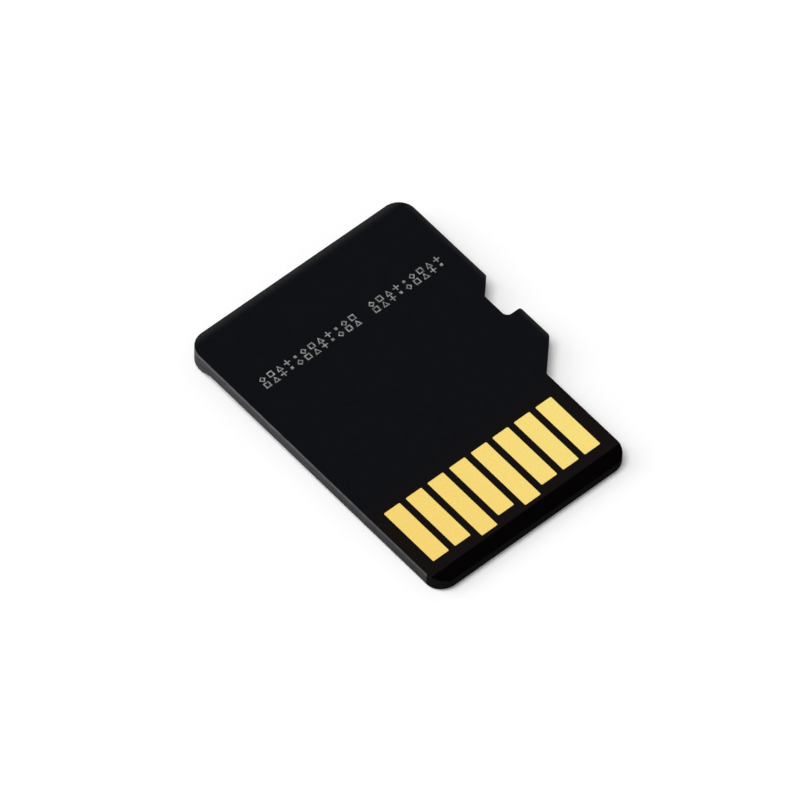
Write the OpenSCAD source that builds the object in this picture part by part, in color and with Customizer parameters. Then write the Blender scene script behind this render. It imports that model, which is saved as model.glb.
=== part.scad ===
// Micro memory card with eight contacts, in millimetres.
// The contact face looks up, the contacts' end is at -Y and the locking notch at +X.
// The origin is under the middle of the card, level with the crest of the finger lip.

/* [Outline] */
// Width of the rear part
card_w = 11; // [10.9:0.05:11.1]
// Width of the front part, between the left edge and the right edge beside the contacts
front_w = 9.7; // [9.6:0.05:9.8]
// Length of the card
card_l = 15; // [14.9:0.05:15.1]
// Radius of the four outer corners
corner_r = 0.8; // [0.7:0.05:0.9]
// Front edge to the foot of the sloping shoulder
shoulder_y = 4.93; // [4.8:0.01:5.1]
// Front edge to the front wall of the locking notch
notch_y = 7.95; // [7.85:0.01:8.0]
// Length of the notch's floor
notch_l = 1.3; // [1.2:0.05:1.4]
// Depth of the notch, also the run of its sloping rear wall
notch_d = 0.7; // [0.6:0.05:0.8]

/* [Thickness] */
// Thickness from the label face to the contact face
body_t = 0.7; // [0.65:0.01:0.75]
// Height of the finger lip above the label face
lip_h = 0.3; // [0.25:0.01:0.33]
// Thickness of the laminate's core
core_t = 0.11; // [0.1:0.01:0.13]
// Thickness of each solder mask
mask_t = 0.02; // [0.015:0.005:0.03]
// Thickness of a contact's copper and gold
contact_t = 0.015; // [0.01:0.005:0.015]

/* [Edges] */
// Length of the bevel at the contacts' end
bevel_l = 0.62; // [0.5:0.01:0.65]
// Drop of the bevel from the contact face to the front edge
bevel_drop = 0.1; // [0.06:0.01:0.14]
// Rounding between the bevel and the front face
nose_r = 0.2; // [0.15:0.01:0.25]
// Rounding of the label face's edges
label_r = 0.1; // [0.05:0.01:0.11]
// Rounding of the label face's front edge, which grows round the front corners
front_r = 0.25; // [0.12:0.01:0.28]
// Rounding of the lip's edges
lip_r = 0.2; // [0.1:0.01:0.2]
// Rear edge to the foot of the lip's ramp, at the card's sides
lip_side = 1.45; // [1.3:0.05:1.6]
// Radius of the bow of the lip's front
lip_bow_r = 30; // [25:1:60]
// Run of the lip's ramp
lip_ramp = 0.5; // [0.3:0.05:0.6]

/* [Contacts] */
// Number of contacts
contact_n = 8; // [8]
// Distance between contact centres
contact_pitch = 1.1; // [1.05:0.05:1.1]
// Width of a contact
contact_w = 0.8; // [0.7:0.05:0.9]
// Length of a signal contact
contact_l = 2.9; // [2.7:0.05:3.0]
// Front edge to the front end of a signal contact
contact_y = 1.1; // [1.1:0.05:1.2]
// How much further forward the two supply contacts reach
supply_extra = 0.3; // [0.2:0.05:0.35]

/* [Memory stack] */
// Width of a memory die
flash_w = 8.8; // [8:0.1:9]
// Length of a memory die
flash_l = 8; // [7:0.1:8.2]
// Thickness of a memory die
flash_t = 0.06; // [0.05:0.005:0.06]
// Thickness of a die attach film
film_t = 0.015; // [0.01:0.005:0.015]
// Step from one die's bonding edge to the next
flash_step = 0.3; // [0.25:0.01:0.32]
// Front edge to the bonding edge of the first die
flash_y = 5.3; // [5.2:0.05:5.4]
// Left side to the memory dies
flash_x = 0.6; // [0.5:0.05:0.8]
// Columns of wires on the memory stack
flash_wires = 12; // [6:1:16]

/* [Controller and passives] */
// Width of the controller die
controller_w = 2.6; // [2:0.1:2.8]
// Length of the controller die
controller_l = 2; // [1.6:0.1:2.2]
// Thickness of the controller die
controller_t = 0.1; // [0.08:0.01:0.12]
// Wires on each side of the controller
controller_wires = 6; // [3:1:7]
// Length of a chip capacitor
chip_l = 0.6; // [0.55:0.01:0.6]
// Width and height of a chip capacitor
chip_w = 0.3; // [0.25:0.01:0.3]

/* [Hidden] */
// Levels, from the crest of the lip up
label_z = lip_h;
contact_z = lip_h + body_t;
core_top = contact_z - mask_t;
core_z = core_top - core_t;
inner_z = core_z - mask_t;

// Sides of the outline
left_x = -card_w / 2;
right_x = card_w / 2;
narrow_x = left_x + front_w;
front_y = -card_l / 2;
rear_y = card_l / 2;

// Small corners of the outline
shoulder_out_r = 0.25;
shoulder_in_r = 0.2;
notch_out_r = 0.12;
notch_in_r = 0.25;
slope_in_r = 0.12;
slope_out_r = 0.15;
big_r = 0.5;
big_steps = 12;
small_steps = 3;

// Margins by which cutters overshoot
over = 0.3;
edge_over = 0.05;
edge_steps = 3;

// Faces round the full circle of the lip's bow
bow_faces = 360;

// Wires, bonding fingers and lands
wire_d = 0.025;
wire_rise = 0.06;
wire_foot = 0.04;
wire_steps = 4;
pad_inset = 0.1;
finger_w = 0.08;
finger_l = 0.25;
flash_reach = 0.35;
controller_reach = 0.4;
controller_x = -1.2;
controller_y = front_y + 2.7;
end_cap = 0.15;
end_play = 0.01;
resistor_t = 0.23;
fillet_l = 0.1;
fillet_h = 0.2;
land_l = 0.3;

// Chip capacitors and the resistor: centre from the front edge and the card's middle, and turn
chips = [
    [-3.6, 2.2, 0],
    [-3.6, 3.1, 0],
    [1.6, 2.4, 90],
    [2.6, 2.4, 90]
];
resistor_i = 3;
flash_n = 4;

// Outline
// Corners of the card as x, y and radius, anticlockwise from the front left
corners = [
    [left_x, front_y, corner_r],
    [narrow_x, front_y, corner_r],
    [narrow_x, front_y + shoulder_y, shoulder_in_r],
    [right_x, front_y + shoulder_y + right_x - narrow_x, shoulder_out_r],
    [right_x, front_y + notch_y, notch_out_r],
    [right_x - notch_d, front_y + notch_y, notch_in_r],
    [right_x - notch_d, front_y + notch_y + notch_l, slope_in_r],
    [right_x, front_y + notch_y + notch_l + notch_d, slope_out_r],
    [right_x, rear_y, corner_r],
    [left_x, rear_y, corner_r]
];

function unit(v) = v / norm(v);
function left_of(v) = [-v.y, v.x];
function turned(v, a) = [v.x * cos(a) - v.y * sin(a), v.x * sin(a) + v.y * cos(a)];
function flat(p) = [p.x, p.y];

// Points of one rounded corner p between its neighbours a and b.
// The sides are moved inwards by inset, and the radius with them.
function rounded_corner(a, p, b, r, inset) =
    let (
        u = unit(p - a),
        v = unit(b - p),
        side = sign(cross(u, v)),
        turn = acos(u * v),
        tip = p + inset * (left_of(u) + left_of(v)) / (1 + u * v),
        radius = r - side * inset,
        start = tip - u * radius * tan(turn / 2),
        centre = start + left_of(u) * radius * side,
        steps = r > big_r ? big_steps : small_steps
    )
    [for (i = [0:steps]) centre + turned(start - centre, side * turn * i / steps)];

function rounded_outline(list, inset) =
    let (n = len(list))
    [for (i = [0:n - 1])
        each rounded_corner(flat(list[(i + n - 1) % n]), flat(list[i]), flat(list[(i + 1) % n]),
            list[i][2], inset)];

function card_outline(inset = 0) = rounded_outline(corners, inset);

// Closed band through sections that have the same number of points, the last joined to the first
module band(sections) {
    n = len(sections[0]);
    m = len(sections);
    points = [for (section = sections) each section];
    faces = [for (j = [0:m - 1]) for (i = [0:n - 1])
        let (k = (j + 1) % m, l = (i + 1) % n)
        [j * n + i, k * n + i, k * n + l, j * n + l]];
    polyhedron(points, faces);
}

// Plate with the card's outline between two heights
module card_plate(z0, z1) {
    translate([0, 0, z0])
        linear_extrude(z1 - z0)
            polygon(card_outline());
}

// Everything above the bevel and in front of the rounded nose
module nose_cut() {
    face_z = contact_z - bevel_drop;
    slope = bevel_drop / bevel_l;
    nose = rounded_corner([front_y, label_z], [front_y, face_z], [front_y + bevel_l, contact_z],
        nose_r, 0);
    ramp_end = [front_y + bevel_l + over, contact_z + slope * over];
    outside = [[front_y - over, contact_z + slope * over], [front_y - over, nose[0].y]];
    rotate([90, 0, 90])
        translate([0, 0, -card_w])
            linear_extrude(2 * card_w)
                polygon(concat(nose, [ramp_end], outside));
}

// Moulding
foot_y = rear_y - lip_side;
crest_y = foot_y + lip_ramp;
bow_sag = lip_bow_r - sqrt(pow(lip_bow_r, 2) - pow(card_w / 2, 2));

// Space over the label face in front of the lip, whose front is a ramp that bows forward
module label_cut() {
    difference() {
        translate([-card_w, -card_l, -over])
            cube([2 * card_w, 2 * card_l, label_z + over]);
        translate([0, foot_y - bow_sag + lip_bow_r, -over])
            cylinder(h = lip_h + 2 * over,
                r1 = lip_bow_r - lip_ramp - over * lip_ramp / lip_h,
                r2 = lip_bow_r + over * lip_ramp / lip_h, $fn = bow_faces);
    }
}

// Outline points that the edge rounding follows, with the lower face's height and the radius
// there: the label face from ramp to ramp, and the lip round the rear
function edge_path(inset) =
    let (
        outline = card_outline(inset),
        lip_n = 2 * (big_steps + 1),
        front_n = len(outline) - lip_n
    )
    concat(
        [[left_x + inset, foot_y]],
        [for (i = [0:front_n - 1]) outline[i]],
        [[right_x - inset, foot_y], [right_x - inset, crest_y]],
        [for (i = [front_n:len(outline) - 1]) outline[i]],
        [[left_x + inset, crest_y]]
    );

function is_lip(p) = p.y > crest_y - edge_over;

// Radius at a point of the label face's edge
function label_radius(p) =
    let (share = max(0, front_y + corner_r - p.y) / corner_r)
    label_r + (front_r - label_r) * share * share;

// Section of the rounding's cutter as inset and height for a radius r above the height z
function edge_profile(r, z) = concat(
    [[-edge_over, z - edge_over], [r, z - edge_over]],
    [for (a = [90:-90 / edge_steps:0]) [r * (1 - cos(a)), z + r * (1 - sin(a))]],
    [[-edge_over, z + r]]
);

// Rounds the lower edges all round
module edge_cut() {
    path = edge_path(0);
    band([for (i = [0:len(path) - 1])
        let (
            lip = is_lip(path[i]),
            profile = edge_profile(lip ? lip_r : label_radius(path[i]), lip ? 0 : label_z)
        )
        [for (p = profile) let (q = edge_path(p[0])[i]) [q.x, q.y, p[1]]]]);
}

module moulded_body() {
    color("#3b3a3d")
        difference() {
            card_plate(0, inner_z);
            label_cut();
            edge_cut();
            nose_cut();
            encapsulated();
        }
}

// Everything that the moulding encloses
module encapsulated() {
    for (i = [1:flash_n]) {
        flash_shape(i);
        film_shape(i);
    }
    controller_shape();
    controller_film_shape();
    for (i = [0:len(chips) - 1]) {
        chip_shape(i);
        fillet_shapes(i);
    }
    flash_wire_shapes();
    controller_wire_shapes();
}

// Laminate
module substrate() {
    color("#2e2b26")
        difference() {
            card_plate(core_z, core_top);
            nose_cut();
        }
}

module contact_mask() {
    color("#111317")
        difference() {
            card_plate(core_top, contact_z);
            nose_cut();
            for (i = [1:contact_n])
                contact_window(i);
        }
}

module die_side_mask() {
    color("#1c3324")
        difference() {
            card_plate(inner_z, core_z);
            nose_cut();
            finger_shapes();
            land_shapes();
        }
}

// Contacts, counted from the notch side
supply = [4, 6];

function contact_x(i) = left_x + front_w / 2 + contact_pitch * ((contact_n + 1) / 2 - i);
function contact_extra(i) = len(search(i, supply)) > 0 ? supply_extra : 0;

module contact_block(i, z0, z1) {
    extra = contact_extra(i);
    translate([contact_x(i) - contact_w / 2, front_y + contact_y - extra, z0])
        cube([contact_w, contact_l + extra, z1 - z0]);
}

module contact_window(i) {
    contact_block(i, core_top, contact_z + over);
}

module contact(i) {
    color("#f3dc86")
        contact_block(i, core_top, core_top + contact_t);
}

// Memory stack, which hangs from the laminate's inner face
function flash_low(i) = inner_z - i * (flash_t + film_t);
function flash_edge(i) = front_y + flash_y + (i - 1) * flash_step;

module flash_block(i, z0, z1) {
    translate([left_x + flash_x, flash_edge(i), z0])
        cube([flash_w, flash_l, z1 - z0]);
}

module flash_shape(i) {
    flash_block(i, flash_low(i), flash_low(i) + flash_t);
}

module film_shape(i) {
    flash_block(i, flash_low(i) + flash_t, flash_low(i - 1));
}

module flash_die(i) {
    color("#5d6470")
        flash_shape(i);
}

module die_film(i) {
    color("#a9a48c")
        film_shape(i);
}

// Controller
controller_low = inner_z - film_t - controller_t;

module controller_block(z0, z1) {
    translate([controller_x - controller_w / 2, controller_y - controller_l / 2, z0])
        cube([controller_w, controller_l, z1 - z0]);
}

module controller_shape() {
    controller_block(controller_low, controller_low + controller_t);
}

module controller_film_shape() {
    controller_block(controller_low + controller_t, inner_z);
}

module controller_die() {
    color("#4c5563")
        controller_shape();
}

module controller_film() {
    color("#a9a48c")
        controller_film_shape();
}

// Wires
// Lower and upper edges of one loop from a to b in a plane across the bonding edge
function loop_arch(a, b, drop) =
    let (
        p = a + [-wire_foot, 0],
        q = b + [wire_foot, 0]
    )
    [for (i = [0:wire_steps])
        let (t = i / wire_steps)
        p + (q - p) * t - [0, wire_rise * sin(180 * t) + drop]];

// Profile of a chain of loops over the stops, with a flat foot at each stop
function chain_profile(stops) =
    let (
        n = len(stops),
        low = [for (i = [0:n - 2]) each loop_arch(stops[i], stops[i + 1], wire_d)],
        high = [for (i = [n - 2:-1:0]) each
            [for (j = [wire_steps:-1:0]) loop_arch(stops[i], stops[i + 1], 0)[j]]],
        first = stops[0],
        last = stops[n - 1],
        end = [0, wire_d]
    )
    concat([first, first - end], low, [last - end, last], high);

// One chain of wire in the plane across the bonding edge, at x
module wire_chain(x, stops) {
    translate([x - wire_d / 2, 0, 0])
        rotate([90, 0, 90])
            linear_extrude(wire_d)
                polygon(chain_profile(stops));
}

function spread(i, n, width) = width * ((i + 0.5) / n - 0.5);
function flash_column(i) = left_x + flash_x + flash_w / 2 + spread(i, flash_wires, flash_w);
function finger_stop_y() = flash_edge(1) - flash_reach;

// Each column runs from the last die over every step down to the laminate
flash_stops = concat(
    [for (i = [flash_n:-1:1]) [flash_edge(i) + pad_inset, flash_low(i)]],
    [[finger_stop_y(), inner_z]]
);

module flash_wire_shapes() {
    for (i = [0:flash_wires - 1])
        wire_chain(flash_column(i), flash_stops);
}

module flash_bond_wires() {
    color("#e8c95a")
        flash_wire_shapes();
}

// Copies its children to the four sides of the controller; a side's own -Y is outwards
module each_controller_side() {
    for (a = [0:90:270])
        translate([controller_x, controller_y, 0])
            rotate([0, 0, a])
                translate([0, -(a % 180 == 0 ? controller_l : controller_w) / 2, 0])
                    children();
}

function controller_column(i) = spread(i, controller_wires, controller_l);
controller_stops = [[pad_inset, controller_low], [-controller_reach, inner_z]];

module controller_wire_shapes() {
    each_controller_side()
        for (i = [0:controller_wires - 1])
            wire_chain(controller_column(i), controller_stops);
}

module controller_bond_wires() {
    color("#e8c95a")
        controller_wire_shapes();
}

// Bonding fingers in the inner mask
module finger(x, y) {
    translate([x - finger_w / 2, y - finger_l / 2, inner_z])
        cube([finger_w, finger_l, mask_t]);
}

module finger_shapes() {
    for (i = [0:flash_wires - 1])
        finger(flash_column(i), finger_stop_y());
    each_controller_side()
        for (i = [0:controller_wires - 1])
            finger(controller_column(i), -controller_reach);
}

module bond_fingers() {
    color("#e3bd4e")
        finger_shapes();
}

// Chip components and their solder
function chip_height(i) = i == resistor_i ? resistor_t : chip_w;

module at_chip(i) {
    translate([chips[i][0], front_y + chips[i][1], 0])
        rotate([0, 0, chips[i][2]])
            children();
}

module chip_block(length, width, height, x) {
    translate([x - length / 2, -width / 2, inner_z - height])
        cube([length, width, height]);
}

module chip_shape(i) {
    h = chip_height(i);
    at_chip(i)
        union() {
            chip_block(chip_l - 2 * end_play, chip_w - 2 * end_play, h - end_play, 0);
            for (side = [-1, 1])
                chip_block(end_cap, chip_w, h, side * (chip_l - end_cap) / 2);
        }
}

module capacitor(i) {
    color("#b79a73")
        chip_shape(i - 1);
}

module resistor() {
    color("#2b2d31")
        chip_shape(resistor_i);
}

// Sloping solder at both ends of a chip
module fillet_shapes(i) {
    profile = [[0, 0], [fillet_l, 0], [0, -fillet_h]];
    at_chip(i)
        for (side = [0, 180])
            rotate([0, 0, side])
                translate([chip_l / 2, chip_w / 2, inner_z])
                    rotate([90, 0, 0])
                        linear_extrude(chip_w)
                            polygon(profile);
}

module solder_fillets() {
    color("#c9ccd1")
        for (i = [0:len(chips) - 1])
            fillet_shapes(i);
}

module land_shapes() {
    for (i = [0:len(chips) - 1])
        at_chip(i)
            for (side = [-1, 1])
                translate([0, 0, mask_t])
                    chip_block(land_l, chip_w, mask_t, side * (chip_l / 2 + fillet_l - land_l / 2));
}

module component_lands() {
    color("#e3bd4e")
        land_shapes();
}

moulded_body();
substrate();
contact_mask();
die_side_mask();
contact(1);  // contact_1
contact(2);  // contact_2
contact(3);  // contact_3
contact(4);  // contact_4
contact(5);  // contact_5
contact(6);  // contact_6
contact(7);  // contact_7
contact(8);  // contact_8
bond_fingers();
component_lands();
flash_die(1);  // flash_die_1
flash_die(2);  // flash_die_2
flash_die(3);  // flash_die_3
flash_die(4);  // flash_die_4
die_film(1);  // die_film_1
die_film(2);  // die_film_2
die_film(3);  // die_film_3
die_film(4);  // die_film_4
controller_die();
controller_film();
capacitor(1);  // capacitor_1
capacitor(2);  // capacitor_2
capacitor(3);  // capacitor_3
resistor();
solder_fillets();
flash_bond_wires();
controller_bond_wires();
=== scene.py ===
"""Looks of the micro memory card: finished skins for its outer pieces, materials, light and camera.

Shapes are worked out in millimetres and built in metres, in the CAD's own frame.
"""
import math
import bmesh
import bpy
from mathutils import Matrix, Vector
from mathutils.geometry import delaunay_2d_cdt


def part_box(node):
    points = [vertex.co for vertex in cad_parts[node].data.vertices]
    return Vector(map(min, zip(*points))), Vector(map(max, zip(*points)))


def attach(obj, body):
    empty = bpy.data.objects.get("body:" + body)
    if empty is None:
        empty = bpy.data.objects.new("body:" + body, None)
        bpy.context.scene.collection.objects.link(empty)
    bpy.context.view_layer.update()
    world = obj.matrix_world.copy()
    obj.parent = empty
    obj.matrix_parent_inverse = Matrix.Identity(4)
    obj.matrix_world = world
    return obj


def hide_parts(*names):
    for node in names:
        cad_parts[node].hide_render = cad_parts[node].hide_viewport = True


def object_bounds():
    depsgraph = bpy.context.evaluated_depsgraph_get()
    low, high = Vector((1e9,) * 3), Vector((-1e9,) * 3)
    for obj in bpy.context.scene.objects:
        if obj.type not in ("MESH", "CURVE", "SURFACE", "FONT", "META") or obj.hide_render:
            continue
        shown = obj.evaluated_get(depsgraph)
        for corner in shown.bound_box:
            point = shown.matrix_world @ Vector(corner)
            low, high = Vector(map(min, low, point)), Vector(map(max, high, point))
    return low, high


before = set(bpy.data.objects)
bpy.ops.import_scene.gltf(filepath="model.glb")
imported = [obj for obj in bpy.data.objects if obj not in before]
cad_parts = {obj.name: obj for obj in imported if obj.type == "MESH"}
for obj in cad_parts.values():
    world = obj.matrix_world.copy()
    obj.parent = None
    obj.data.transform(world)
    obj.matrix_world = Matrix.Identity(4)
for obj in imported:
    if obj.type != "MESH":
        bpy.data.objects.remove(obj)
cad_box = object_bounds()

MM = 0.001
# Distance in mm under which two places count as one
TINY = 1e-6
# Distance in mm under which a point counts as on a row
NEAR = 1e-5
# Decimals that rows, insets and points are rounded to before they are compared
DIGITS = 6


def box_mm(node):
    low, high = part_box(node)
    return Vector(low) / MM, Vector(high) / MM


# Places that come from the frame
card_low, card_high = cad_box[0] / MM, cad_box[1] / MM
core_low, core_high = box_mm("substrate")
LEFT, FRONT, LIP_Z = card_low
RIGHT, REAR, CONTACT_Z = card_high
CORE_Z = core_low.z
CORE_TOP = core_high.z
INNER_Z = box_mm("moulded_body")[1].z

# Outline, as in the part's source: a tip and a radius for each corner, anticlockwise
NARROW = LEFT + 9.7
CORNER_R = 0.8
SHOULDER_Y = FRONT + 4.93
NOTCH_Y = FRONT + 7.95
NOTCH_L = 1.3
NOTCH_D = 0.7
CORNERS = [
    (LEFT, FRONT, CORNER_R),
    (NARROW, FRONT, CORNER_R),
    (NARROW, SHOULDER_Y, 0.2),
    (RIGHT, SHOULDER_Y + RIGHT - NARROW, 0.25),
    (RIGHT, NOTCH_Y, 0.12),
    (RIGHT - NOTCH_D, NOTCH_Y, 0.25),
    (RIGHT - NOTCH_D, NOTCH_Y + NOTCH_L, 0.12),
    (RIGHT, NOTCH_Y + NOTCH_L + NOTCH_D, 0.15),
    (RIGHT, REAR, CORNER_R),
    (LEFT, REAR, CORNER_R),
]
BIG_STEPS = 28
SMALL_STEPS = 8
# Least radius that a corner keeps where it is moved inwards by more than its own radius
SMALLEST_R = 0.005

# Edges and lip, as in the part's source
BEVEL_Y = FRONT + 0.62
BEVEL_DROP = 0.1
NOSE_R = 0.2
LABEL_Z = LIP_Z + 0.3
LABEL_R = 0.1
LIP_R = 0.2
FRONT_R = 0.25
LIP_RAMP = 0.5
LIP_FOOT = REAR - 1.45
LIP_BOW_R = 30.0
# Finer than in the source: the broken edge of the contact face, and the steps of the roundings
TOP_R = 0.02
FILLET_STEPS = 8
LAYER_STEPS = 6
LIP_SPANS = 48
# Width of the flat band beside a rounding, which keeps the flat face's shading even
FLAT_BAND = 0.04


# Outline
def left_of(v):
    return Vector((-v.y, v.x))


def turned(v, angle):
    return Matrix.Rotation(angle, 2) @ v


def rounded_corner(before, tip, after, radius, inset, steps):
    """Points of a rounded corner whose sides are moved inwards by inset."""
    u = (tip - before).normalized()
    v = (after - tip).normalized()
    side = 1 if u.cross(v) > 0 else -1
    turn = math.acos(u.dot(v))
    moved = tip + inset * (left_of(u) + left_of(v)) / (1 + u.dot(v))
    r = max(SMALLEST_R, radius - side * inset)
    start = moved - u * r * math.tan(turn / 2)
    centre = start + left_of(u) * r * side
    return [centre + turned(start - centre, side * turn * i / steps) for i in range(steps + 1)]


def raw_outline(inset):
    tips = [Vector(c[:2]) for c in CORNERS]
    points = []
    for i, (_, _, radius) in enumerate(CORNERS):
        steps = BIG_STEPS if radius == CORNER_R else SMALL_STEPS
        points += rounded_corner(tips[i - 1], tips[i], tips[(i + 1) % len(tips)], radius, inset, steps)
    return points


# Nose: the height of the contact side over y, with the bevel and the rounded front edge
NOSE = rounded_corner(
    Vector((FRONT, LABEL_Z)), Vector((FRONT, CONTACT_Z - BEVEL_DROP)),
    Vector((BEVEL_Y, CONTACT_Z)), NOSE_R, 0, FILLET_STEPS)
NOSE.append(Vector((BEVEL_Y, CONTACT_Z)))
# Keeps a steep step of the nose from a division by zero
LEAST_RUN = 1e-9


def nose_height(y):
    for a, b in zip(NOSE, NOSE[1:]):
        if y <= b.x:
            share = min(1, max(0, (y - a.x) / max(b.x - a.x, LEAST_RUN)))
            return a.y + (b.y - a.y) * share
    return CONTACT_Z


def nose_y(z):
    """Where the nose reaches the height z."""
    for a, b in zip(NOSE, NOSE[1:]):
        if a.y <= z <= b.y:
            return a.x + (b.x - a.x) * (z - a.y) / (b.y - a.y)
    return FRONT


# Rows that every ring has a point on, so that layers and feature lines meet their walls
LEVELS = [INNER_Z, CORE_Z, CORE_TOP]
ROWS = {round(p.x, DIGITS) for p in NOSE[1:]} | {round(nose_y(z), DIGITS) for z in LEVELS}
ROWS = sorted(ROWS | {round(BEVEL_Y + side * FLAT_BAND, DIGITS) for side in (-1, 1)})
# Steps across the lip's ramp, close together at its foot and crest
LIP_STEPS = [-FLAT_BAND, 0, FLAT_BAND, LIP_RAMP / 2, LIP_RAMP - FLAT_BAND, LIP_RAMP, LIP_RAMP + FLAT_BAND]
LIP_ROWS = [LIP_FOOT + step for step in LIP_STEPS]


def crossings():
    """Where the outline's segments cross the rows, as pairs of segment and share."""
    base = raw_outline(0)
    found = []
    for i, a in enumerate(base):
        b = base[(i + 1) % len(base)]
        shares = [(y - a.y) / (b.y - a.y) for y in ROWS + LIP_ROWS if (a.y - y) * (b.y - y) < -TINY ** 2]
        found += [(i, s) for s in sorted(shares)]
    return found


CROSSINGS = crossings()


def outline(inset):
    """The card's outline moved in by inset, always with the same number of points."""
    raw = raw_outline(inset)
    points = []
    for i, p in enumerate(raw):
        points.append(p)
        after = raw[(i + 1) % len(raw)]
        points += [p.lerp(after, s) for j, s in CROSSINGS if j == i]
    return points


BASE = outline(0)


# Floor of the label side
def lip_front(x):
    sag = LIP_BOW_R - math.sqrt(LIP_BOW_R ** 2 - x ** 2)
    side_sag = LIP_BOW_R - math.sqrt(LIP_BOW_R ** 2 - RIGHT ** 2)
    return LIP_FOOT + sag - side_sag


def label_height(x, y):
    share = (y - lip_front(x)) / LIP_RAMP
    share = min(1, max(0, share))
    return LABEL_Z + (LIP_Z - LABEL_Z) * share


def label_radius(p):
    """Radius of the lower edge: larger on the lip, and under the nose between the front corners."""
    lip_share = min(1, max(0, (p.y - LIP_FOOT) / LIP_RAMP))
    front_share = min(1, max(0, (FRONT + CORNER_R - p.y) / CORNER_R))
    return LABEL_R + (LIP_R - LABEL_R) * lip_share + (FRONT_R - LABEL_R) * front_share ** 2


def top_inset(z, top):
    """How far the broken upper edge stands in at the height z."""
    depth = max(0, z - (top - TOP_R))
    return TOP_R - math.sqrt(max(0, TOP_R ** 2 - depth ** 2))


# Wall looks: routed right side and notch, sawn left side and rear, ground nose, bevel
ROUTED, SAWN, GROUND, BEVEL = range(4)


def wall_slot(p, q):
    if max(p.y, q.y) <= FRONT + CORNER_R + TINY:
        return GROUND
    on_left = max(p.x, q.x) < LEFT + TINY
    on_rear = min(p.y, q.y) > REAR - CORNER_R - TINY and max(p.x, q.x) < RIGHT - CORNER_R + TINY
    return SAWN if on_left or on_rear else ROUTED


def roof_slot(middle):
    """Look of the contact side at a place."""
    if middle.y > BEVEL_Y:
        return ROUTED
    return BEVEL if middle.y > NOSE[1].x else GROUND


# Meshes
WELD_M = 2e-8
SLIVER_M = 1e-8
CDT_MARGIN = 1e-7
SHARP_DEG = 35


def inside(p, loop):
    """Even-odd test of a point in a closed loop."""
    hit = False
    for a, b in zip(loop, loop[1:] + loop[:1]):
        if (a.y > p.y) != (b.y > p.y) and p.x < a.x + (b.x - a.x) * (p.y - a.y) / (b.y - a.y):
            hit = not hit
    return hit


def filled(loops, lines=()):
    """Triangles between an outer loop and its holes, with lines kept as edges."""
    points = []
    edges = []
    for loop in loops:
        first = len(points)
        points += loop
        edges += [(first + i, first + (i + 1) % len(loop)) for i in range(len(loop))]
    known = {(round(p.x, DIGITS), round(p.y, DIGITS)): i for i, p in enumerate(points)}
    for line in lines:
        chain = []
        for p in line:
            key = (round(p.x, DIGITS), round(p.y, DIGITS))
            if key not in known:
                known[key] = len(points)
                points.append(p)
            chain.append(known[key])
        edges += list(zip(chain, chain[1:]))
    verts, _, faces, _, _, _ = delaunay_2d_cdt(points, edges, [], 0, CDT_MARGIN)
    kept = []
    for f in faces:
        middle = sum((verts[i] for i in f), Vector((0, 0))) / len(f)
        if inside(middle, loops[0]) and not any(inside(middle, hole) for hole in loops[1:]):
            kept.append(list(f))
    return verts, kept


class Shell:
    """Collects rings and fills, then becomes one smooth object."""

    def __init__(self):
        self.points = []
        self.faces = []
        self.slots = []

    def add(self, points):
        first = len(self.points)
        self.points += [Vector(p) for p in points]
        return list(range(first, len(self.points)))

    def bridge(self, low, high, slots=None):
        n = len(low)
        for i in range(n):
            j = (i + 1) % n
            self.face((low[i], low[j], high[j], high[i]), slots[i] if slots else 0)

    def bridge_all(self, rings, slots=None):
        for low, high in zip(rings, rings[1:]):
            self.bridge(low, high, slots)

    def face(self, corners, slot):
        self.faces.append(tuple(corners))
        self.slots.append(slot)

    def fill(self, loops, height, up, lines=(), slot_of=None):
        verts, faces = filled(loops, lines)
        ids = self.add([(v.x, v.y, height(v.x, v.y)) for v in verts])
        for f in faces:
            a, b, c = (verts[i] for i in f[:3])
            turn = (b - a).cross(c - a)
            order = f if (turn > 0) == up else f[::-1]
            self.face([ids[i] for i in order], slot_of((a + b + c) / 3) if slot_of else 0)

    def build(self, name, materials):
        mesh = bpy.data.meshes.new(name)
        mesh.from_pydata([p * MM for p in self.points], [], self.faces)
        for material in materials:
            mesh.materials.append(material)
        mesh.polygons.foreach_set("material_index", self.slots)
        weld(mesh)
        mesh.polygons.foreach_set("use_smooth", [True] * len(mesh.polygons))
        mesh.set_sharp_from_angle(angle=math.radians(SHARP_DEG))
        obj = bpy.data.objects.new(name, mesh)
        bpy.context.scene.collection.objects.link(obj)
        smooth = obj.modifiers.new("area_normals", "WEIGHTED_NORMAL")
        smooth.mode = "FACE_AREA"
        smooth.weight = 100
        smooth.keep_sharp = True
        return obj


def weld(mesh):
    """Joins vertices at one place and drops faces without area."""
    bm = bmesh.new()
    bm.from_mesh(mesh)
    bmesh.ops.remove_doubles(bm, verts=bm.verts, dist=WELD_M)
    bmesh.ops.dissolve_degenerate(bm, edges=bm.edges, dist=SLIVER_M)
    bm.to_mesh(mesh)
    bm.free()


# Moulding
def on_lip_row(p):
    return any(abs(p.y - y) < TINY for y in LIP_ROWS)


def ring_at(inset_of, height_of):
    """Ring whose inset and height may change from point to point."""
    insets = sorted({round(inset_of(p), DIGITS) for p in BASE})
    known = {d: outline(d) for d in insets}
    points = []
    for i, p in enumerate(BASE):
        q = known[round(inset_of(p), DIGITS)][i].copy()
        if on_lip_row(p):
            q.y += lip_front(q.x) - lip_front(p.x)
        points.append((q.x, q.y, height_of(p, q)))
    return points


def ends(points):
    """The leftmost and the rightmost of some points."""
    return min(points, key=lambda q: q.x), max(points, key=lambda q: q.x)


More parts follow.
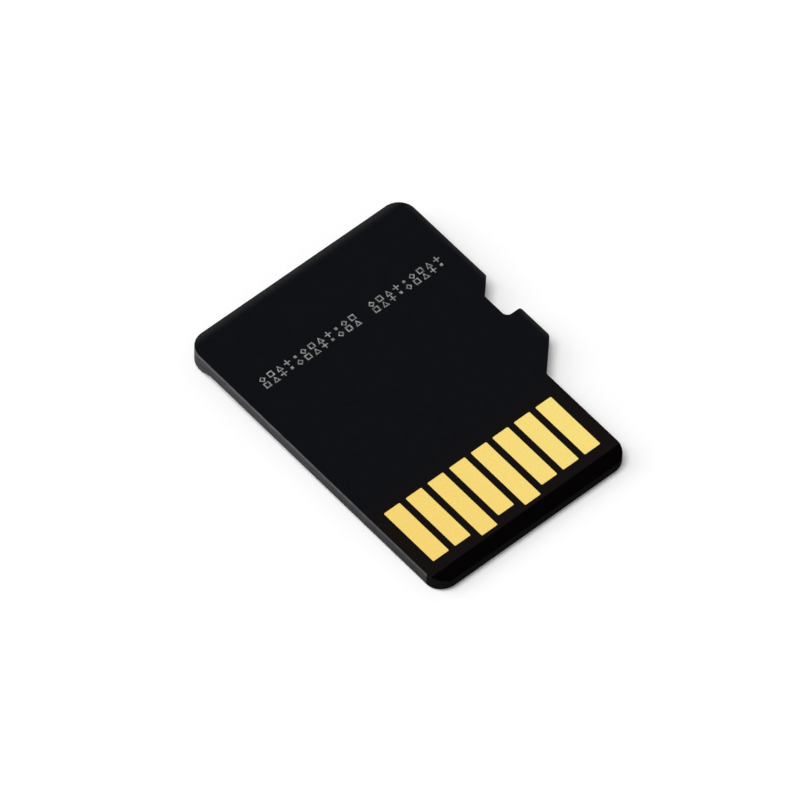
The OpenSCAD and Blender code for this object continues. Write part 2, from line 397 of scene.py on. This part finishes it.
def lip_lines(loop):
    """Lines across the loop that follow the lip's bow at each step of its ramp."""
    lines = []
    for step in LIP_STEPS:
        left, right = ends([q for q, p in zip(loop, BASE) if abs(p.y - LIP_FOOT - step) < TINY])
        xs = [left.x + (right.x - left.x) * i / LIP_SPANS for i in range(1, LIP_SPANS)]
        lines.append([left] + [Vector((x, lip_front(x) + step)) for x in xs] + [right])
    return lines


def rows_across(base, loop, rows):
    """Straight lines across a loop between its own points, which stand for the base's points on the rows."""
    lines = []
    for y in rows:
        on_row = [q for p, q in zip(base, loop) if abs(p.y - y) < NEAR]
        if len(on_row) >= 2:
            lines.append(list(ends(on_row)))
    return lines


def fillet_ring(angle):
    """Ring on the lower edge's rounding, from the label face at a quarter turn to the wall at 0."""
    return ring_at(
        lambda p: label_radius(p) * (1 - math.cos(angle)),
        lambda p, q: label_height(q.x, q.y) + label_radius(p) * (1 - math.sin(angle)))


def moulding_top(x, y):
    return min(INNER_Z, nose_height(y))


def mesh_moulding(materials):
    shell = Shell()
    rings = [ring_at(lambda p: label_radius(p) + FLAT_BAND, lambda p, q: label_height(q.x, q.y))]
    rings += [fillet_ring(math.pi / 2 * (1 - i / FILLET_STEPS)) for i in range(FILLET_STEPS + 1)]
    rings.append([(p.x, p.y, moulding_top(p.x, p.y)) for p in BASE])
    slots = [wall_slot(p, q) for p, q in zip(BASE, BASE[1:] + BASE[:1])]
    shell.bridge_all([shell.add(r) for r in rings], slots)
    floor_loop = [Vector(p[:2]) for p in rings[0]]
    shell.fill([floor_loop], label_height, False, lip_lines(floor_loop))
    top_rows = [y for y in ROWS if y <= nose_y(INNER_Z) + TINY]
    shell.fill([BASE], moulding_top, True, rows_across(BASE, BASE, top_rows), lambda middle: GROUND)
    return shell.build("moulding", materials)


# Laminate and contacts
PAD_CORNER = 0.05
PAD_STEPS = 5
# Rounding of the rims of the contacts and of the mask's openings
RIM_R = 0.006
RIM_STEPS = 3


def rim_angle(k):
    return math.pi / 2 * k / RIM_STEPS


def rounded_box(box, grow):
    """Anticlockwise loop of a box with rounded corners, grown by grow."""
    low, high = box
    places = [(low.x, low.y), (high.x, low.y), (high.x, high.y), (low.x, high.y)]
    tips = [Vector(place) for place in places]
    points = []
    for i in range(4):
        points += rounded_corner(tips[i - 1], tips[i], tips[(i + 1) % 4], PAD_CORNER, -grow, PAD_STEPS)
    return points


def layer_loop(y0, insets):
    """The outline behind the row y0, moved in by a distance of its own at each point."""
    kept = [i for i, p in enumerate(BASE) if p.y >= y0 - TINY]
    known = {d: outline(d) for d in set(insets)}
    return [known[d][i] for d, i in zip(insets, kept)]


def mesh_layer(name, low_z, high_z, materials, holes=(), broken=True):
    """A thin layer of the laminate, cut by the nose, with holes and, where broken, an eased upper edge."""
    shell = Shell()
    y0 = nose_y(low_z)
    base = [p for p in BASE if p.y >= y0 - TINY]
    slots = [wall_slot(p, q) for p, q in zip(base, base[1:] + base[:1])]

    def top(x, y):
        return min(high_z, nose_height(y))

    def level(p, share):
        return low_z + (top(*p) - low_z) * share

    rings = []
    for i in range(LAYER_STEPS + 1):
        share = i / LAYER_STEPS
        insets = [broken * round(top_inset(level(p, share), nose_height(p.y)), DIGITS) for p in base]
        rings.append([(q.x, q.y, level(q, share)) for q in layer_loop(y0, insets)])
    ids = [shell.add(r) for r in rings]
    shell.bridge_all(ids, slots)

    roof = [Vector(p[:2]) for p in rings[-1]]
    if high_z == CONTACT_Z:
        roof = layer_loop(y0, [round(d + FLAT_BAND, DIGITS) for d in insets])
        band_ids = shell.add([(q.x, q.y, top(*q)) for q in roof])
        shell.bridge(ids[-1], band_ids, [roof_slot(q) for q in roof])
    roofs = [roof]
    for hole in holes:
        roofs.append(open_hole(shell, hole, low_z, high_z))
    lines = rows_across(base, roof, [y for y in ROWS if y > y0 + TINY])
    shell.fill(roofs, top, True, lines, roof_slot)
    floors = [[Vector(p[:2]) for p in rings[0]]] + [rounded_box(h, 0) for h in holes]
    shell.fill(floors, lambda x, y: low_z, False)
    return shell.build(name, materials)


def open_hole(shell, hole, low_z, high_z):
    """Wall and rim of an opening, with a flat band round it, whose outer loop is returned."""
    angles = [rim_angle(k) for k in range(RIM_STEPS + 1)]
    ids = [shell.add([(q.x, q.y, high_z - RIM_R * (1 - math.cos(a)))
                      for q in rounded_box(hole, RIM_R * (1 - math.sin(a)))]) for a in angles]
    ids.append(shell.add([(q.x, q.y, low_z) for q in rounded_box(hole, 0)]))
    shell.bridge_all(ids)
    band = rounded_box(hole, RIM_R + FLAT_BAND)
    shell.bridge(shell.add([(q.x, q.y, high_z) for q in band]), ids[0], [ROUTED] * len(band))
    return band


def mesh_contact(name, box, materials):
    shell = Shell()
    low, high = box
    profile = [(0, low.z), (0, high.z - RIM_R)]
    profile += [(RIM_R * (1 - math.cos(a)), high.z - RIM_R * (1 - math.sin(a)))
                for a in (rim_angle(k) for k in range(1, RIM_STEPS + 1))]
    loops = [rounded_box(box, -d) for d, _ in profile]
    shell.bridge_all([shell.add([(q.x, q.y, z) for q in loop]) for loop, (_, z) in zip(loops, profile)])
    shell.fill([loops[-1]], lambda x, y: high.z, True)
    shell.fill([loops[0]], lambda x, y: low.z, False)
    return shell.build(name, materials)


# Laser marks: two groups of small plain shapes, stacked in pairs
MARK_Y = 4.12
MARK_R = 0.145
MARK_LINE = 0.05
MARK_PITCH = 0.4145
MARK_LIFT = 0.0015
MARK_GROUPS = [(-4.355, 12), (1.19, 9)]
MARK_ROWS = (-0.157, 0.157)
MARK_SHAPES = ["square", "plus", "diamond", "triangle", "dot"]
# How many shapes the pattern moves on from one pair to the next, and within a pair
MARK_STRIDE = 3
MARK_SHIFT = 2


def ring_shape(points, width):
    """Outer and inner loop of a closed stroke."""
    n = len(points)
    inner = []
    for i in range(n):
        u = (points[i] - points[i - 1]).normalized()
        v = (points[(i + 1) % n] - points[i]).normalized()
        inner.append(points[i] + width * (left_of(u) + left_of(v)) / (1 + u.dot(v)))
    return [points, inner]


def square(r):
    return [Vector((-r, -r)), Vector((r, -r)), Vector((r, r)), Vector((-r, r))]


def mark_loops(kind):
    """Outer loop and hole of one mark around its centre."""
    r, t = MARK_R, MARK_LINE
    if kind == "square":
        return ring_shape(square(r * 0.92), t)
    if kind == "dot":
        return [square(t * 1.2)]
    if kind == "diamond":
        return ring_shape([Vector((0, -r)), Vector((r, 0)), Vector((0, r)), Vector((-r, 0))], t * 0.9)
    if kind == "triangle":
        return ring_shape([Vector((-r, -r)), Vector((r, -r)), Vector((0, r))], t * 0.8)
    a = t / 2
    arms = [(a, -r), (a, -a), (r, -a), (r, a), (a, a), (a, r)]
    return [[Vector(p) for p in arms] + [Vector((-x, -y)) for x, y in arms]]


def mesh_marks(materials):
    shell = Shell()
    low, high = CONTACT_Z - MARK_LIFT, CONTACT_Z + MARK_LIFT
    places = [(x0, i, j) for x0, count in MARK_GROUPS for i in range(count) for j in range(len(MARK_ROWS))]
    for x0, i, j in places:
        centre = Vector((x0 + MARK_PITCH * i, MARK_Y + MARK_ROWS[j]))
        kind = MARK_SHAPES[(MARK_STRIDE * i + MARK_SHIFT * j) % len(MARK_SHAPES)]
        loops = [[p + centre for p in loop] for loop in mark_loops(kind)]
        shell.fill(loops, lambda x, y: high, True)
        shell.fill(loops, lambda x, y: low, False)
        for k, loop in enumerate(loops):
            ids = [shell.add([(p.x, p.y, z) for p in loop]) for z in (low, high)]
            shell.bridge(*(ids if k == 0 else ids[::-1]))
    return shell.build("laser_marks", materials)


# Materials
# The part of a noise's values that is spread over a range of colours or values
NOISE_RANGE = (0.3, 0.7)
GRAIN_DETAIL = 4
CLOUD_DETAIL = 3


def new_material(name, colour, roughness, specular=0.5, metallic=0.0):
    material = bpy.data.materials.new(name)
    material.use_nodes = True
    shader = material.node_tree.nodes["Principled BSDF"]
    shader.inputs["Base Color"].default_value = (*colour, 1)
    shader.inputs["Roughness"].default_value = roughness
    shader.inputs["Specular IOR Level"].default_value = specular
    shader.inputs["Metallic"].default_value = metallic
    return material, material.node_tree, shader


def noise(tree, per_mm, detail, stretch=(1, 1, 1)):
    """Noise in the object's own millimetres."""
    nodes, links = tree.nodes, tree.links
    coords = nodes.new("ShaderNodeTexCoord")
    mapping = nodes.new("ShaderNodeMapping")
    mapping.inputs["Scale"].default_value = [s / MM for s in stretch]
    texture = nodes.new("ShaderNodeTexNoise")
    texture.inputs["Scale"].default_value = per_mm
    texture.inputs["Detail"].default_value = detail
    links.new(coords.outputs["Object"], mapping.inputs["Vector"])
    links.new(mapping.outputs["Vector"], texture.inputs["Vector"])
    return texture.outputs["Fac"]


def ramp(tree, source, dark, light):
    """Colours of a noise, from dark to light."""
    node = tree.nodes.new("ShaderNodeValToRGB")
    for element, place, colour in zip(node.color_ramp.elements, NOISE_RANGE, (dark, light)):
        element.position = place
        element.color = (*colour, 1)
    tree.links.new(source, node.inputs["Fac"])
    return node.outputs["Color"]


def spread(tree, source, low, high):
    """Maps a noise value to a range."""
    node = tree.nodes.new("ShaderNodeMapRange")
    node.inputs["From Min"].default_value, node.inputs["From Max"].default_value = NOISE_RANGE
    node.inputs["To Min"].default_value = low
    node.inputs["To Max"].default_value = high
    tree.links.new(source, node.inputs["Value"])
    return node.outputs["Result"]


def bump(tree, shader, source, depth_mm):
    node = tree.nodes.new("ShaderNodeBump")
    node.inputs["Strength"].default_value = 1
    node.inputs["Distance"].default_value = depth_mm * MM
    tree.links.new(source, node.inputs["Height"])
    tree.links.new(node.outputs["Normal"], shader.inputs["Normal"])


def grey(value, tint=(1, 1, 1)):
    return tuple(value * t for t in tint)


def mottled(name, dark, light, rough, grain, depth, specular=0.5, metallic=0.0, stretch=(1, 1, 1)):
    """Surface whose colour, roughness and height share one fine grain.

    grain is the number of its features in a millimetre, and depth is its height in mm.
    """
    material, tree, shader = new_material(name, dark, rough[0], specular, metallic)
    fine = noise(tree, grain, GRAIN_DETAIL, stretch)
    tree.links.new(ramp(tree, fine, dark, light), shader.inputs["Base Color"])
    tree.links.new(spread(tree, fine, *rough), shader.inputs["Roughness"])
    bump(tree, shader, fine, depth)
    return material


def zone(tree, axis, start_mm, end_mm):
    """A value that grows smoothly from 0 to 1 between two places along an axis of the card."""
    coords = tree.nodes.new("ShaderNodeTexCoord")
    split = tree.nodes.new("ShaderNodeSeparateXYZ")
    share = tree.nodes.new("ShaderNodeMapRange")
    share.interpolation_type = "SMOOTHSTEP"
    share.inputs["From Min"].default_value = start_mm * MM
    share.inputs["From Max"].default_value = end_mm * MM
    tree.links.new(coords.outputs["Object"], split.inputs[0])
    tree.links.new(split.outputs[axis], share.inputs["Value"])
    return share.outputs["Result"]


def product(tree, a, b):
    node = tree.nodes.new("ShaderNodeMath")
    node.operation = "MULTIPLY"
    tree.links.new(a, node.inputs[0])
    tree.links.new(b, node.inputs[1])
    return node.outputs[0]


def overlay(material, factor, colour, blend="MIX"):
    """Blends a colour over the base colour where factor is high."""
    tree = material.node_tree
    base = tree.nodes["Principled BSDF"].inputs["Base Color"]
    mix = tree.nodes.new("ShaderNodeMix")
    mix.data_type = "RGBA"
    mix.blend_type = blend
    a, b = (next(i for i in mix.inputs if i.name == name and i.type == "RGBA") for name in "AB")
    b.default_value = (*colour, 1)
    tree.links.new(base.links[0].from_socket, a)
    tree.links.new(factor, mix.inputs[0])
    tree.links.new(next(o for o in mix.outputs if o.type == "RGBA"), base)


# Slightly blue tint of the sawn sides, and the stretch of their saw marks along the card
COOL = (1, 0.98, 1.05)
SAW_MARKS = (1, 0.12, 1)
# Stretch of the laminate's sheets in a routed edge
SHEETS = (1, 1, 4)

LOOKS = {
    "moulding": dict(name="black_moulding", dark=grey(0.014), light=grey(0.020), rough=(0.5, 0.62),
                     grain=22, depth=0.002, specular=0.12),
    "sawn": dict(name="sawn_moulding", dark=grey(0.032, COOL), light=grey(0.087, COOL), rough=(0.55, 0.8),
                 grain=12, depth=0.004, specular=0.05, stretch=SAW_MARKS),
    "ground": dict(name="ground_nose", dark=(0.0060, 0.0056, 0.0056), light=(0.0090, 0.0084, 0.0084),
                   rough=(0.5, 0.6), grain=22, depth=0.001, specular=0.001),
    # The bevel is the ground finish painted darker than the nose: painted shade standing in for the dark that
    # it reflects
    "bevel": dict(name="ground_bevel", dark=(0.0010, 0.0006, 0.0006), light=(0.0020, 0.0014, 0.0014),
                  rough=(0.5, 0.6), grain=22, depth=0.001, specular=0.001),
    "core": dict(name="laminate_edge", dark=grey(0.02), light=grey(0.03), rough=(0.5, 0.65),
                 grain=30, depth=0.002, specular=0.05, stretch=SHEETS),
    "sawn_core": dict(name="sawn_laminate", dark=grey(0.068, COOL), light=grey(0.138, COOL),
                      rough=(0.5, 0.65), grain=12, depth=0.002, specular=0.05, stretch=SAW_MARKS),
    "mask": dict(name="black_mask", dark=(0.0001, 0.0004, 0.0015), light=(0.0019, 0.0022, 0.0038),
                 rough=(0.34, 0.46), grain=14, depth=0.0008, specular=0.045),
    "inner_mask": dict(name="inner_mask", dark=(0.02, 0.05, 0.03), light=(0.03, 0.07, 0.04), rough=(0.4, 0.5),
                       grain=14, depth=0.001),
    "gold": dict(name="contact_gold", dark=(0.895, 0.695, 0.19), light=(0.97, 0.775, 0.245),
                 rough=(0.30, 0.38), grain=12, depth=0.0006, metallic=1.0),
    "mark": dict(name="laser_mark", dark=grey(0.06), light=grey(0.44), rough=(0.6, 0.8),
                 grain=7, depth=0.001, specular=0.05),
    "silicon": dict(name="silicon", dark=(0.10, 0.11, 0.14), light=(0.14, 0.15, 0.18), rough=(0.2, 0.3),
                    grain=6, depth=0.0005, metallic=0.6),
    "film": dict(name="attach_film", dark=(0.40, 0.37, 0.27), light=(0.48, 0.44, 0.33), rough=(0.5, 0.6),
                 grain=10, depth=0.001),
    "capacitor": dict(name="capacitor", dark=(0.32, 0.22, 0.13), light=(0.40, 0.28, 0.17), rough=(0.5, 0.6),
                      grain=14, depth=0.001),
    "resistor": dict(name="resistor", dark=grey(0.02), light=grey(0.03), rough=(0.4, 0.5),
                     grain=14, depth=0.001),
    "solder": dict(name="solder", dark=grey(0.55), light=grey(0.65), rough=(0.3, 0.45),
                   grain=10, depth=0.002, metallic=1.0),
}
# Tints that grow along an axis: look, axis, start and end in mm, tint. The sawn sides' darkening towards the
# front is painted shade, the gold's change towards the left is a painted reflection, and the sawn side is
# also darker towards the bottom
TINTS_AND_PAINTED_LIGHT = [
    # Painted shade: the sawn side darker towards the front
    ("sawn", "Y", 5, -7, grey(0.66)),
    ("sawn", "Z", 0.85, 0.45, grey(0.80)),
    # Painted shade: the sawn laminate darker towards the front
    ("sawn_core", "Y", 5, -7, grey(0.68)),
    # Painted reflection: the contacts darker and more orange towards the left
    ("gold", "X", RIGHT, LEFT, (0.99, 0.91, 0.83)),
]

# The mask's faint clouds, its warmer zone round the contacts, and a painted highlight along its rear and
# right rims, broken up by specks
CLOUDS_PER_MM = 2.2
CLOUD = (0.0006, 0.0007, 0.0006)
WARM_ZONE = ("Y", -2.4, -4.0)
WARM = (0.0031, 0.0019, 0.0016)
PAINTED_RIM_HIGHLIGHTS = [(("Y", 7.0, 7.48), grey(0.022)), (("X", 5.15, 5.48), grey(0.012))]
RIM_HIGHLIGHT_SPECKS_PER_MM = 9
RIM_HIGHLIGHT_SPECKS = (0.55, 1.3)


def weather_and_highlight_mask(material):
    tree = material.node_tree
    overlay(material, spread(tree, noise(tree, CLOUDS_PER_MM, CLOUD_DETAIL), 0, 1), CLOUD, "ADD")
    overlay(material, zone(tree, *WARM_ZONE), WARM)
    # Painted highlight: the mask is made lighter along its rear and right rims
    for rim, colour in PAINTED_RIM_HIGHLIGHTS:
        near = zone(tree, *rim)
        highlight_specks = spread(tree, noise(tree, RIM_HIGHLIGHT_SPECKS_PER_MM, CLOUD_DETAIL), *RIM_HIGHLIGHT_SPECKS)
        overlay(material, product(tree, product(tree, near, near), highlight_specks), colour, "ADD")


def make_materials():
    made = {key: mottled(**look) for key, look in LOOKS.items()}
    for key, axis, start, end, tint in TINTS_AND_PAINTED_LIGHT:
        overlay(made[key], zone(made[key].node_tree, axis, start, end), tint, "MULTIPLY")
    weather_and_highlight_mask(made["mask"])
    return made


# The look of each CAD node, by the start of its name
NODE_LOOKS = {
    "moulded_body": "moulding",
    "substrate": "core",
    "contact_mask": "mask",
    "contact_": "gold",
    "die_side_mask": "inner_mask",
    "bond_fingers": "gold",
    "component_lands": "gold",
    "flash_die": "silicon",
    "die_film": "film",
    "controller_die": "silicon",
    "controller_film": "film",
    "capacitor": "capacitor",
    "resistor": "resistor",
    "solder_fillets": "solder",
    "flash_bond_wires": "gold",
    "controller_bond_wires": "gold",
}


def dress_nodes(made):
    for name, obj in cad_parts.items():
        look = next(v for k, v in NODE_LOOKS.items() if name.startswith(k))
        obj.data.materials.clear()
        obj.data.materials.append(made[look])


# Pieces
def place(piece, slot, *nodes):
    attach(piece, "root")
    if nodes:
        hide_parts(*nodes)


def make_pieces(made):
    walls = [made["moulding"], made["sawn"], made["ground"], made["bevel"]]
    place(mesh_moulding(walls), "moulding", "moulded_body")
    inner = mesh_layer("inner_mask_layer", INNER_Z, CORE_Z, walls, broken=False)
    place(inner, "die_side_mask", "die_side_mask")
    edges = [made["core"], made["sawn_core"], made["ground"], made["bevel"]]
    place(mesh_layer("laminate_core", CORE_Z, CORE_TOP, edges), "laminate_core", "substrate")
    contacts = {name: box_mm(name) for name in sorted(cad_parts)
                if name.startswith("contact_") and name != "contact_mask"}
    layers = [made["mask"], made["sawn_core"], made["ground"], made["bevel"]]
    mask = mesh_layer("contact_mask_layer", CORE_TOP, CONTACT_Z, layers, list(contacts.values()))
    place(mask, "contact_mask", "contact_mask")
    for name, box in contacts.items():
        place(mesh_contact(name + "_plating", box, [made["gold"]]), "contact_gold", name)
    place(mesh_marks([made["mark"]]), "contact_mask")


# Stage: white floor, even room light, and a large soft key and fill from above on the left
FLOOR_HALF_M = 1.5
FLOOR_GAP_M = 2e-6
FLOOR_WHITE = 0.9
FLOOR_ROUGH = 0.9
# Glow that lifts the floor to white in front of the camera and in reflections
FLOOR_LIFT = 0.145
AMBIENT = 0.28
LAMP_DISTANCE_M = 1.0
# Name, direction, size in m and power in W of each lamp
LAMPS = [
    ("key", (-0.32, 0.04, 0.95), 0.6, 6.5),
    ("fill", (-0.6, 0.6, 0.53), 0.75, 2.5),
]


def rest_slope():
    """Slope of the surface under the resting card, which bears on the lip and the front edge."""
    lip_y = lip_front(0) + LIP_RAMP
    front_y = FRONT + LABEL_R
    return (LABEL_Z - LIP_Z) / (lip_y - front_y), lip_y


def seen_by_camera(tree):
    """1 for rays that show the background: camera, glossy and transmission rays."""
    path = tree.nodes.new("ShaderNodeLightPath")
    value = path.outputs["Is Camera Ray"]
    for name in ("Is Glossy Ray", "Is Transmission Ray"):
        larger = tree.nodes.new("ShaderNodeMath")
        larger.operation = "MAXIMUM"
        tree.links.new(value, larger.inputs[0])
        tree.links.new(path.outputs[name], larger.inputs[1])
        value = larger.outputs[0]
    return value


def make_floor():
    slope, lip_y = rest_slope()
    half = FLOOR_HALF_M
    corners = [(-half, -half), (half, -half), (half, half), (-half, half)]
    points = [(x, y, slope * (lip_y * MM - y) - FLOOR_GAP_M) for x, y in corners]
    mesh = bpy.data.meshes.new("floor")
    mesh.from_pydata(points, [], [(0, 1, 2, 3)])
    material, tree, shader = new_material("floor_white", grey(FLOOR_WHITE), FLOOR_ROUGH, 0.0)
    output = next(n for n in tree.nodes if n.type == "OUTPUT_MATERIAL")
    glow = tree.nodes.new("ShaderNodeEmission")
    lift = tree.nodes.new("ShaderNodeMath")
    lift.operation = "MULTIPLY"
    lift.inputs[1].default_value = FLOOR_LIFT
    tree.links.new(seen_by_camera(tree), lift.inputs[0])
    tree.links.new(lift.outputs[0], glow.inputs["Strength"])
    both = tree.nodes.new("ShaderNodeAddShader")
    tree.links.new(shader.outputs[0], both.inputs[0])
    tree.links.new(glow.outputs[0], both.inputs[1])
    tree.links.new(both.outputs[0], output.inputs["Surface"])
    mesh.materials.append(material)
    floor = bpy.data.objects.new("floor", mesh)
    bpy.context.scene.collection.objects.link(floor)


def make_world():
    world = bpy.data.worlds.new("studio")
    world.use_nodes = True
    tree = world.node_tree
    output = next(n for n in tree.nodes if n.type == "OUTPUT_WORLD")
    ambient = tree.nodes["Background"]
    ambient.inputs["Color"].default_value = (*grey(AMBIENT), 1)
    white = tree.nodes.new("ShaderNodeBackground")
    white.inputs["Color"].default_value = (1, 1, 1, 1)
    mix = tree.nodes.new("ShaderNodeMixShader")
    tree.links.new(seen_by_camera(tree), mix.inputs["Fac"])
    tree.links.new(ambient.outputs[0], mix.inputs[1])
    tree.links.new(white.outputs[0], mix.inputs[2])
    tree.links.new(mix.outputs[0], output.inputs["Surface"])
    bpy.context.scene.world = world


def make_lamp(name, direction, size, power):
    """A lamp that aims at the card and isn't seen itself, not even in the gold."""
    data = bpy.data.lights.new(name, "AREA")
    data.shape = "DISK"
    data.size = size
    data.energy = power
    lamp = bpy.data.objects.new(name, data)
    lamp.location = Vector(direction).normalized() * LAMP_DISTANCE_M
    lamp.rotation_mode = "QUATERNION"
    lamp.rotation_quaternion = Vector(direction).to_track_quat("Z", "Y")
    lamp.visible_camera = False
    lamp.visible_glossy = False
    bpy.context.scene.collection.objects.link(lamp)


# Camera: a long lens, solved from the contacts and edges in the photograph
AZIMUTH = -42.03
ELEVATION = 54.62
ROLL = 1.445
DISTANCE_M = 0.46241
FOCAL_PX = 11996
IMAGE_PX = 800
SENSOR_MM = 36.0
CLIP_M = (0.01, 10)
# Pixel of the photograph where the card's middle is seen, and that middle
AIM_PX = (420.33, 396.73)
AIM = Vector((0, 0, 0.5 * MM))


def make_camera():
    azimuth, elevation, roll = (math.radians(a) for a in (AZIMUTH, ELEVATION, ROLL))
    back = Vector((math.sin(azimuth) * math.cos(elevation), -math.cos(azimuth) * math.cos(elevation),
                   math.sin(elevation)))
    level = Vector((math.cos(azimuth), math.sin(azimuth), 0))
    upright = back.cross(level)
    right = level * math.cos(roll) + upright * math.sin(roll)
    up = upright * math.cos(roll) - level * math.sin(roll)
    per_px = DISTANCE_M / FOCAL_PX
    aside = (AIM_PX[0] - IMAGE_PX / 2) * per_px
    below = (AIM_PX[1] - IMAGE_PX / 2) * per_px
    data = bpy.data.cameras.new("camera")
    data.sensor_width = SENSOR_MM
    data.lens = FOCAL_PX / IMAGE_PX * SENSOR_MM
    data.clip_start, data.clip_end = CLIP_M
    camera = bpy.data.objects.new("camera", data)
    camera.matrix_world = Matrix.Translation(AIM + back * DISTANCE_M - right * aside + up * below) @ Matrix(
        (right, up, back)).transposed().to_4x4()
    bpy.context.scene.collection.objects.link(camera)
    bpy.context.scene.camera = camera


made = make_materials()
dress_nodes(made)
make_pieces(made)
make_floor()
make_world()
for lamp_values in LAMPS:
    make_lamp(*lamp_values)
make_camera()
bpy.context.scene.view_settings.view_transform = "Standard"

bpy.context.view_layer.update()
